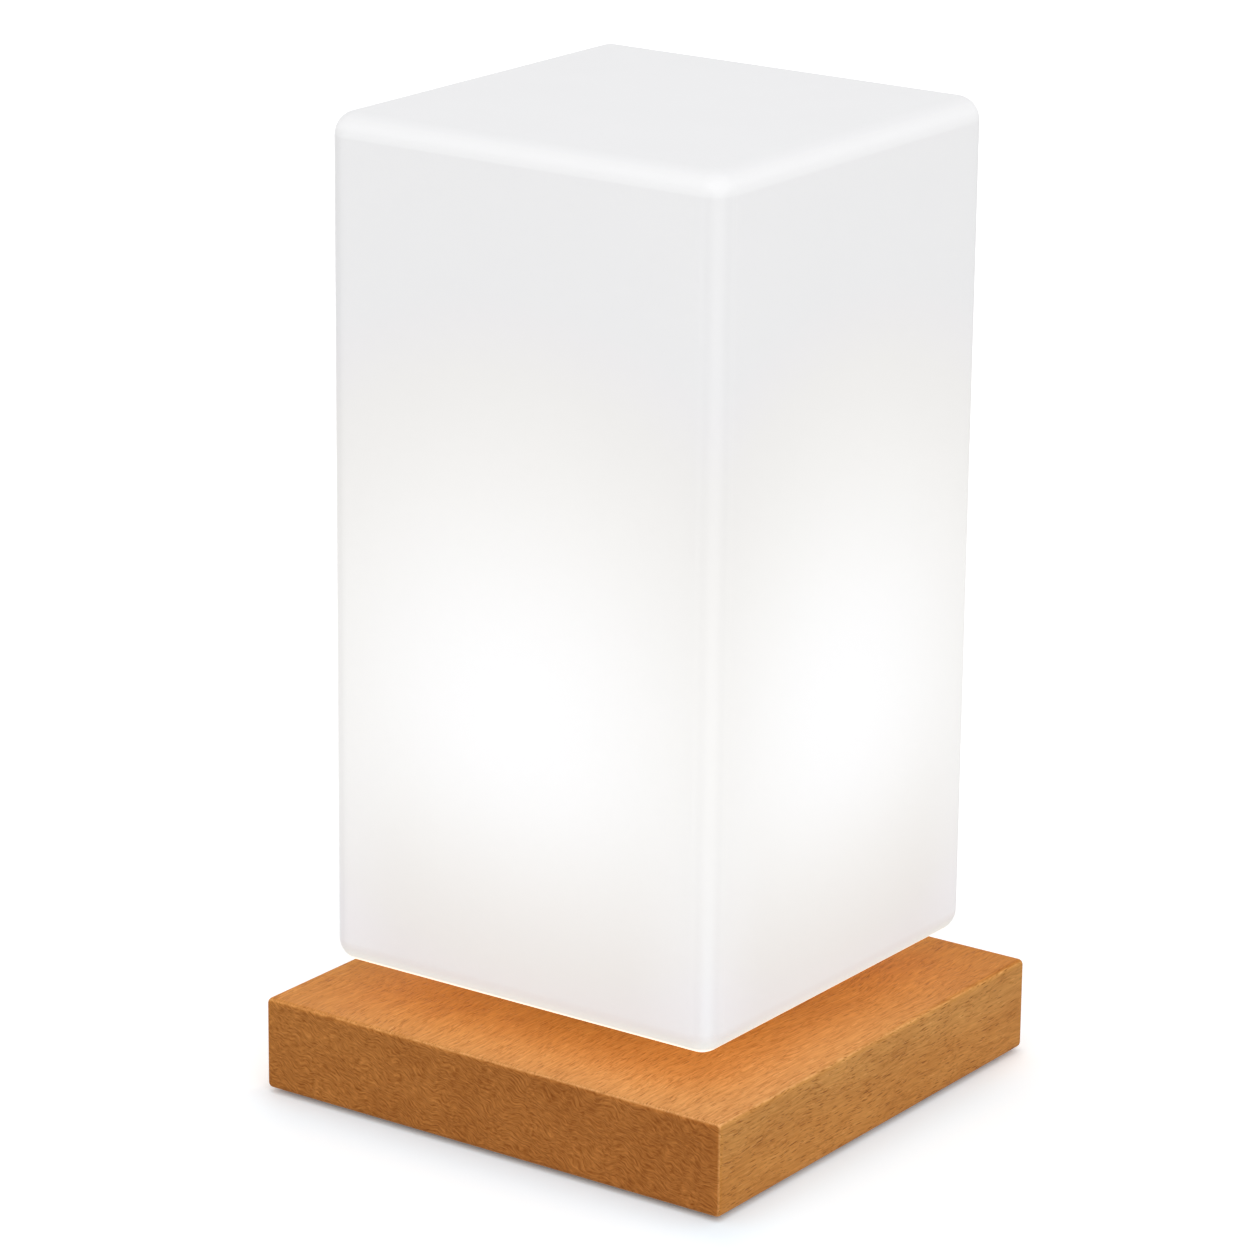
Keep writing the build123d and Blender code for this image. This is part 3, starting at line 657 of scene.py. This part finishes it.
# Painted reflection: the paler colour towards that corner.
plank = blend(tree, calc(tree, "MULTIPLY", painted_light_corner, 0.8), plank, plank_painted_light)
layer = ease(tree, split_xyz(tree, along)["Z"], *layer_span)
side_tone = shift(tree, blend(tree, layer, side_low, side_high), about_zero(tree, cloud), side_swing)
plank = blend(tree, side_face, plank, side_tone)
plank = shift(tree, plank, about_zero(tree, fibre), fibre_swing)
plank = blend(tree, calc(tree, "MULTIPLY", vein, 0.50), plank, vein_stain, "MULTIPLY")
plank = blend(tree, calc(tree, "MULTIPLY", pale_fleck, 0.75), plank, pale_stain, "MULTIPLY")
fleck_depth = calc(tree, "MULTIPLY_ADD", side_face, side_deeper, top_depth)
plank = blend(tree, calc(tree, "MULTIPLY", fleck, fleck_depth), plank, fleck_stain, "MULTIPLY")
print("beech tree", len(tree.nodes), "nodes so far")

# %% [markdown]
# The ends replace that colour by their own, a little darker to one side, and the sanded edges come last: paler from
# wear and, as a painted highlight, from the light that their small rounds catch. The relief uses the same masks, so
# each fleck is a shallow groove and each stroke on the ends a small ridge, and light picks them out.

# %% Beech: ends, edges and relief
end_left, end_right = (0.570, 0.213, 0.045, 1), (0.512, 0.179, 0.036, 1)
end_span = (-60.0, 45.0)
end_swing = (0.45, 0.62, 0.90)
stroke_swing = (1.8, 2.4, 3.3)
sanded_and_highlight = (1.30, 1.45, 1.75, 1)
oil_gloss, fibre_dulls, end_dulls = 0.46, 0.16, 0.08
fibre_height, fleck_height, stroke_height = 0.06, -0.05, 0.28
across = ease(tree, split_xyz(tree, where)["X"], *end_span)
end_tone = shift(tree, blend(tree, across, end_left, end_right), about_zero(tree, cloud), end_swing)
end_tone = shift(tree, end_tone, about_zero(tree, stroke), stroke_swing)
# Paler edges: sanding wear, and a painted highlight where the rounded edges catch the light.
wear_and_highlight = place_group(tree, edge_wear_and_highlight, {"Break": 0.6, "Amount": 0.8})["Mask"]
wood_colour = blend(tree, wear_and_highlight, blend(tree, end_face, plank, end_tone), sanded_and_highlight, "MULTIPLY")
tree.links.new(wood_colour, surface["Base Color"])
oil = calc(tree, "MULTIPLY_ADD", fibre, fibre_dulls, oil_gloss)
tree.links.new(calc(tree, "MULTIPLY_ADD", end_face, end_dulls, oil), surface["Roughness"])
surface["Specular IOR Level"].default_value = 0.09
grooves = calc(tree, "MULTIPLY_ADD", fleck, fleck_height, calc(tree, "MULTIPLY", fibre, fibre_height))
ridges = calc(tree, "SUBTRACT", calc(tree, "MULTIPLY", stroke, stroke_height), grooves)
relief(tree, surface, calc(tree, "ADD", grooves, calc(tree, "MULTIPLY", ridges, end_face)))
dress(beech, "wood_base")

# %% [markdown]
# ## Plastic and rubber pieces
# The neck that the shade turns on, the housing of the module, its cover and the cell cradles are one white moulding
# material. The feet are dull dark rubber that picks up dust on its edges, the seals are pale silicone, and the
# button is a soft grey. All are moulded skin with their own grain, gloss and wear, so a call for each is enough.

# %% Mouldings
white_moulding = moulding(
    "white_moulding", (0.76, 0.76, 0.74), grain=4.0, depth=0.006, gloss=0.42, clouds=0.06,
    rubbed=(0.84, 0.84, 0.82), touched=0.035,
)[0]
dress(white_moulding, "neck_collar", "module_housing", "bottom_cover", "cell_cradle_lower", "cell_cradle_upper")
pad_rubber = moulding(
    "pad_rubber", (0.035, 0.035, 0.037), grain=5.0, depth=0.014, gloss=0.74, clouds=0.14,
    rubbed=(0.11, 0.11, 0.105),
)[0]
dress(pad_rubber, "foot_pads")
silicone = moulding("silicone", (0.60, 0.61, 0.60), grain=7.0, depth=0.003, gloss=0.55, clouds=0.08)[0]
dress(silicone, "shade_gasket", "cover_seal")
button_grey = moulding(
    "button_grey", (0.30, 0.31, 0.32), grain=5.0, depth=0.008, gloss=0.52, clouds=0.06,
    rubbed=(0.42, 0.43, 0.44), touched=0.16,
)[0]
dress(button_grey, "power_button")
component_black = moulding(
    "component_black", (0.028, 0.028, 0.030), grain=8.0, depth=0.005, gloss=0.40, clouds=0.10,
    rubbed=(0.06, 0.06, 0.062),
)[0]
dress(component_black, "board_components", "switch_body", "switch_plunger")

# %% [markdown]
# The small window beside the charging socket is a clear moulded pipe that carries the light of the board to the
# underside. Clear plastic needs transmission in the shader, and a little grain in its skin keeps it from looking like
# a hole.

# %% Light pipe
clear_pipe, tree, surface = moulding("clear_pipe", (0.93, 0.95, 0.94), grain=3.0, depth=0.003, gloss=0.16)
surface["Transmission Weight"].default_value = 0.9
surface["IOR"].default_value = 1.49
dress(clear_pipe, "charge_indicator")

# %% [markdown]
# ## Metal
# Screws, strips, the socket and the plate under the light board differ in colour, but the same three things mark
# them: fine hairlines from handling, a slow change of tone where the plating is thicker, and on the turned plate the
# rings that the tool has left. One group holds all three.

# %% Group: metal marks
hairline_angles = (25, -50)
hairline_waves = (7.0, 0.30, 4.0)
hairline_mean, hairline_height = 0.55, 0.03
plating_waves = (0.30, 0.30, 0.30)
plating_low, plating_swing, plating_dulls = 0.86, 0.24, 0.08
ring_spacing, ring_height = 0.45, 0.004
metal_marks, given, out = new_group(
    "metal_marks",
    [("Colour", "Color", (0.7, 0.7, 0.7, 1)), ("Gloss", "Float", 0.3), ("Marks", "Float", 0.1),
     ("Rings", "Float", 0.0)],
    [("Colour", "Color"), ("Roughness", "Float"), ("Height", "Float")],
)
tree = metal_marks
where = millimetres(tree)
hairlines = []
for angle in hairline_angles:
    laid = put(tree, "VectorRotate", {"rotation_type": "Z_AXIS"}, {"Vector": where, "Angle": math.radians(angle)})
    hairlines.append(noise(tree, laid.outputs[0], hairline_waves)["Fac"])
hairline = calc(tree, "MAXIMUM", *hairlines)
plating = noise(tree, where, plating_waves, detail=3.0)["Fac"]
radius = calc_vector(tree, "LENGTH", calc_vector(tree, "MULTIPLY", where, (1.0, 1.0, 0.0)))
ring = calc(tree, "SINE", calc(tree, "MULTIPLY", radius, math.tau / ring_spacing))
ring = calc(tree, "MULTIPLY", ring, given["Rings"])
tone = calc(tree, "MULTIPLY_ADD", plating, plating_swing, plating_low)
tree.links.new(times(tree, given["Colour"], tone), out["Colour"])
swing = calc(tree, "MULTIPLY", calc(tree, "SUBTRACT", hairline, hairline_mean), given["Marks"])
rough = calc(tree, "ADD", given["Gloss"], swing)
tree.links.new(calc(tree, "MULTIPLY_ADD", plating, plating_dulls, rough), out["Roughness"])
height = calc(tree, "MULTIPLY", calc(tree, "MULTIPLY", hairline, given["Marks"]), hairline_height)
tree.links.new(calc(tree, "MULTIPLY_ADD", ring, ring_height, height), out["Height"])
print("group", metal_marks.name, "with", len(tree.nodes), "nodes")

# %% [markdown]
# Zinc on the screws is bluish and a little dull, the socket is smoother drawn steel, and the plate is turned
# aluminium, which alone shows rings. A metal has no colour under its gloss, so the shader's Metallic is full.

# %% Metal pieces
def metal(name, colour, gloss, marks, rings=0.0):
    """A metal finish from the marks group. What the group gives comes back for further work."""
    material, tree, surface = new_material(name)
    face = place_group(tree, metal_marks, {"Colour": (*colour, 1), "Gloss": gloss, "Marks": marks, "Rings": rings})
    tree.links.new(face["Colour"], surface["Base Color"])
    tree.links.new(face["Roughness"], surface["Roughness"])
    relief(tree, surface, face["Height"])
    surface["Metallic"].default_value = 1.0
    return material, tree, surface, face


zinc_screw = metal("zinc_screw", (0.64, 0.65, 0.68), gloss=0.30, marks=0.14)[0]
dress(zinc_screw, "module_screws", "cover_screws", "board_screws", "cradle_screws", "led_screws")
socket_steel = metal("socket_steel", (0.60, 0.60, 0.61), gloss=0.24, marks=0.10)[0]
dress(socket_steel, "charge_socket_shell")
plate_aluminium = metal("plate_aluminium", (0.76, 0.77, 0.79), gloss=0.34, marks=0.08, rings=1.0)[0]
dress(plate_aluminium, "led_plate")

# %% [markdown]
# The strips on the cells are welded with small round electrodes, which leave four dimples on each cell, browned by
# the heat. Their places are known, so a distance to the nearest one is all that it takes, and folding space at the
# axes by absolute values makes one dimple into eight.

# %% Nickel strips
cell_axis = 9.3
dimple_spacing = 2.4
dimple_span, dimple_height = (0.65, 0.30), -0.08
heat_span, heat_share, heat_brown = (1.10, 0.50), 0.6, (0.40, 0.35, 0.28, 1)
nickel_strip, tree, surface, face = metal("nickel_strip", (0.70, 0.68, 0.64), gloss=0.27, marks=0.12)
x, y, _ = split_xyz(tree, millimetres(tree))
aside = calc(tree, "ABSOLUTE", calc(tree, "SUBTRACT", calc(tree, "ABSOLUTE", x), cell_axis))
aside = calc(tree, "SUBTRACT", aside, dimple_spacing / 2)
beside = calc(tree, "SUBTRACT", calc(tree, "ABSOLUTE", y), dimple_spacing / 2)
apart = calc_vector(tree, "LENGTH", join_xyz(tree, aside, beside))
dimple = ease(tree, apart, *dimple_span)
heat = ease(tree, apart, *heat_span, 0.0, heat_share)
tree.links.new(blend(tree, heat, face["Colour"], heat_brown), surface["Base Color"])
relief(tree, surface, calc(tree, "MULTIPLY_ADD", dimple, dimple_height, face["Height"]))
dress(nickel_strip, "battery_tabs")

# %% [markdown]
# Each cell is a steel can in a thin shrunk sleeve. The sleeve wraps the side and a narrow ring of both ends, and the
# bare steel shows inside that ring, so the distance from the cell's own axis tells them apart. The sleeve is a plain
# moulded skin with fine wrinkles near the ends, where it has shrunk most.

# %% Cells
bare_radius = 7.4
cell_middle = 45.8
wrinkle_span = (26.0, 33.0)
wrinkle_waves, wrinkle_height = (0.9, 0.9, 0.12), 0.18
sleeve_skin = {"Colour": (0.055, 0.16, 0.24, 1), "Grain": 1.2, "Depth": 0.02, "Gloss": 0.30}
cell_can, tree, surface, face = metal("cell_can", (0.58, 0.58, 0.59), gloss=0.26, marks=0.10)
where = millimetres(tree)
x, y, z = split_xyz(tree, where)
aside = calc(tree, "SUBTRACT", calc(tree, "ABSOLUTE", x), cell_axis)
bare = calc(tree, "LESS_THAN", calc_vector(tree, "LENGTH", join_xyz(tree, aside, y)), bare_radius)
sleeve = place_group(tree, moulded_skin, sleeve_skin)
tree.links.new(blend(tree, bare, sleeve["Colour"], face["Colour"]), surface["Base Color"])
tree.links.new(bare, surface["Metallic"])
either = {0: bare, 2: sleeve["Roughness"], 3: face["Roughness"]}
tree.links.new(put(tree, "Mix", {"data_type": "FLOAT"}, either).outputs[0], surface["Roughness"])
near_end = ease(tree, calc(tree, "ABSOLUTE", calc(tree, "SUBTRACT", z, cell_middle)), *wrinkle_span)
wrinkle = calc(tree, "MULTIPLY", noise(tree, where, wrinkle_waves)["Fac"], near_end)
wrinkle = calc(tree, "MULTIPLY", wrinkle, wrinkle_height)
relief(tree, surface, calc(tree, "ADD", wrinkle, sleeve["Height"]))
dress(cell_can, "battery_cells")

# %% [markdown]
# ## Circuit boards
# A board is glass cloth in resin, with copper tracks under a coat of lacquer. The tracks stand out by a hair and show
# through the lacquer as another tone. They run on a square grid, so a random number for each run of cells says
# whether there is a track, and small tinned eyes mark where a track passes to the other side. Control board and
# light board use one group, in green and in white.

# %% Group: board tracks
board_tracks, given, out = new_group(
    "board_tracks",
    [("Lacquer", "Color", (0.02, 0.1, 0.04, 1)), ("Track", "Color", (0.05, 0.2, 0.08, 1)),
     ("Cut Edge", "Color", (0.4, 0.36, 0.2, 1)), ("Pitch", "Float", 1.27)],
    [("Colour", "Color"), ("Height", "Float"), ("Tin", "Float")],
)
tree = board_tracks
grid = calc_vector(tree, "DIVIDE", millimetres(tree), triple(tree, given["Pitch"]))
grid = calc_vector(tree, "MULTIPLY", grid, (1.0, 1.0, 0.0))
inside = calc_vector(tree, "SUBTRACT", calc_vector(tree, "FRACTION", grid), (0.5, 0.5, 0.0))
inside = calc_vector(tree, "ABSOLUTE", inside)
inside_x, inside_y, _ = split_xyz(tree, inside)
print("group", board_tracks.name, "has a grid, with", len(tree.nodes), "nodes so far")

# %% [markdown]
# A track runs over eight cells of the grid, along X or along Y. The cut edge of a board shows bare resin and cloth,
# so tracks and eyes are drawn on its flat sides only.

# %% Tracks and eyes
def chance_at(tree, cell):
    """A random number that is the same all over a cell."""
    return put(tree, "TexWhiteNoise", {"noise_dimensions": "3D"}, {"Vector": cell}).outputs["Value"]


run_cells = 8
track_chance, track_span, track_height = 0.58, (0.20, 0.15), 0.03
eye_chance, eye_span = 0.90, (0.36, 0.30)
tin = (0.62, 0.62, 0.60, 1)
flat_limit = 0.7
runs = []
for steps, across in (((1 / run_cells, 1.0, 1.0), inside_y), ((1.0, 1 / run_cells, 1.0), inside_x)):
    run = calc_vector(tree, "FLOOR", calc_vector(tree, "MULTIPLY", grid, steps))
    laid = calc(tree, "GREATER_THAN", chance_at(tree, run), track_chance)
    runs.append(calc(tree, "MULTIPLY", laid, ease(tree, across, *track_span)))
track = calc(tree, "MAXIMUM", *runs)
drilled = calc(tree, "GREATER_THAN", chance_at(tree, calc_vector(tree, "FLOOR", grid)), eye_chance)
eye = calc(tree, "MULTIPLY", ease(tree, calc_vector(tree, "LENGTH", inside), *eye_span), drilled)
facing_up = split_xyz(tree, facing_way(tree))["Z"]
flat = calc(tree, "GREATER_THAN", calc(tree, "ABSOLUTE", facing_up), flat_limit)
colour = blend(tree, eye, blend(tree, track, given["Lacquer"], given["Track"]), tin)
tree.links.new(blend(tree, flat, given["Cut Edge"], colour), out["Colour"])
tree.links.new(calc(tree, "MULTIPLY", calc(tree, "ADD", track, eye), track_height), out["Height"])
tree.links.new(calc(tree, "MULTIPLY", eye, flat), out["Tin"])
print("group", board_tracks.name, "with", len(tree.nodes), "nodes")

# %% [markdown]
# The green board carries the charging and dimming parts, and the white one throws the light of its chips upwards.
# Lacquer over cloth is glossy in a slightly uneven way, which a little noise in the roughness gives. The eyes are
# bare metal.

# %% Boards
cloth_waves = (1.6, 1.6, 1.6)
lacquer_gloss, cloth_dulls = 0.26, 0.14


def board(name, lacquer, track, cut_edge, pitch):
    """A lacquered board with its tracks. The tinned eyes are metal."""
    material, tree, surface = new_material(name)
    drawn = place_group(tree, board_tracks, {
        "Lacquer": (*lacquer, 1), "Track": (*track, 1), "Cut Edge": (*cut_edge, 1), "Pitch": pitch,
    })
    tree.links.new(drawn["Colour"], surface["Base Color"])
    tree.links.new(drawn["Tin"], surface["Metallic"])
    cloth = noise(tree, millimetres(tree), cloth_waves, detail=1.0)["Fac"]
    tree.links.new(calc(tree, "MULTIPLY_ADD", cloth, cloth_dulls, lacquer_gloss), surface["Roughness"])
    relief(tree, surface, drawn["Height"])
    return material


circuit_board = board(
    "circuit_board", lacquer=(0.012, 0.085, 0.034), track=(0.030, 0.150, 0.062),
    cut_edge=(0.36, 0.33, 0.18), pitch=1.27,
)
dress(circuit_board, "control_board")
light_board = board(
    "light_board", lacquer=(0.78, 0.78, 0.76), track=(0.70, 0.70, 0.67),
    cut_edge=(0.60, 0.61, 0.63), pitch=1.9,
)
dress(light_board, "led_board")

# %% [markdown]
# ## Wires, chips and the inner cap
# Each pair of wires is red on one side and black on the other. Two materials would need the wires apart, but they
# are one node, and the place along X tells them apart as well.

# %% Wires
def colour_so_far(surface):
    """The socket that the shader's colour comes from."""
    return surface["Base Color"].links[0].from_socket


black_skin = {"Colour": (0.022, 0.022, 0.024, 1), "Grain": 4.0, "Clouds": 0.10}
wire_sleeve, tree, surface = moulding(
    "wire_sleeve", (0.45, 0.03, 0.025), grain=4.0, depth=0.004, gloss=0.36, clouds=0.10,
)
red = colour_so_far(surface)
black = place_group(tree, moulded_skin, black_skin)["Colour"]
on_red_side = ease(tree, split_xyz(tree, millimetres(tree))["X"], -0.5, 0.5)
tree.links.new(blend(tree, on_red_side, black, red), surface["Base Color"])
dress(wire_sleeve, "battery_leads", "led_leads")

# %% [markdown]
# A light chip is a pale body with a yellow window on top, whose powder turns blue light to white. The way that the
# surface faces finds the window, and the powder is a fine noise between two yellows.

# %% Light chips
powder_waves = (5.0, 5.0, 5.0)
powder_dark, powder_light = (0.80, 0.50, 0.06, 1), (0.88, 0.62, 0.12, 1)
unlit, window_glow = (0, 0, 0, 1), (0.80, 0.66, 0.36, 1)
light_chip, tree, surface = moulding("light_chip", (0.82, 0.81, 0.76), grain=6.0, depth=0.004, gloss=0.40)
powder = noise(tree, millimetres(tree), powder_waves)["Fac"]
on_top = ease(tree, split_xyz(tree, facing_way(tree))["Z"], 0.80, 0.95)
window = blend(tree, powder, powder_dark, powder_light)
tree.links.new(blend(tree, on_top, colour_so_far(surface), window), surface["Base Color"])
tree.links.new(blend(tree, on_top, unlit, window_glow), surface["Emission Color"])
surface["Emission Strength"].default_value = 1.0
dress(light_chip, "led_chips")

# %% [markdown]
# The cap over the chips is milky plastic like the shade, and it glows most near its foot, where the chips are.

# %% Inner cap
cap_low, cap_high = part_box("led_cap")
glow_at_top, glow_at_foot = (0.10, 0.10, 0.09, 1), (0.34, 0.32, 0.27, 1)
opal, tree, surface = moulding("opal", (0.78, 0.78, 0.77), grain=3.0, depth=0.003, gloss=0.48, clouds=0.04)
near_chips = ease(tree, split_xyz(tree, millimetres(tree))["Z"], cap_high.z * 1000, cap_low.z * 1000)
tree.links.new(blend(tree, near_chips, glow_at_top, glow_at_foot), surface["Emission Color"])
surface["Emission Strength"].default_value = 1.0
dress(opal, "led_cap")

# %% [markdown]
# ## The socket's tongue
# Inside the charging socket a thin black tongue carries two rows of gilt contacts. They are flush with it, so
# they are drawn rather than built: strips at the pitch of the contacts, behind the tip and not at the narrow sides.

# %% Socket tongue
contact_pitch = 0.5
contact_half = 0.26
contact_reach = 2.9
bare_tip = 0.5
gilt_tone = (0.80, 0.56, 0.22, 1)
tongue_low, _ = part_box("charge_socket_tongue")
socket_tongue, tree, surface = moulding(
    "socket_tongue", (0.026, 0.026, 0.028), grain=8.0, depth=0.003, gloss=0.42, clouds=0.08,
)
x, _, z = split_xyz(tree, millimetres(tree))
step = calc(tree, "FRACT", calc(tree, "DIVIDE", x, contact_pitch))
strip = calc(tree, "LESS_THAN", calc(tree, "ABSOLUTE", about_zero(tree, step)), contact_half)
within = calc(tree, "LESS_THAN", calc(tree, "ABSOLUTE", x), contact_reach)
behind_tip = calc(tree, "GREATER_THAN", z, tongue_low.z * 1000 + bare_tip)
gilt = calc(tree, "MULTIPLY", calc(tree, "MULTIPLY", strip, within), behind_tip)
tree.links.new(blend(tree, gilt, colour_so_far(surface), gilt_tone), surface["Base Color"])
tree.links.new(gilt, surface["Metallic"])
dress(socket_tongue, "charge_socket_tongue")
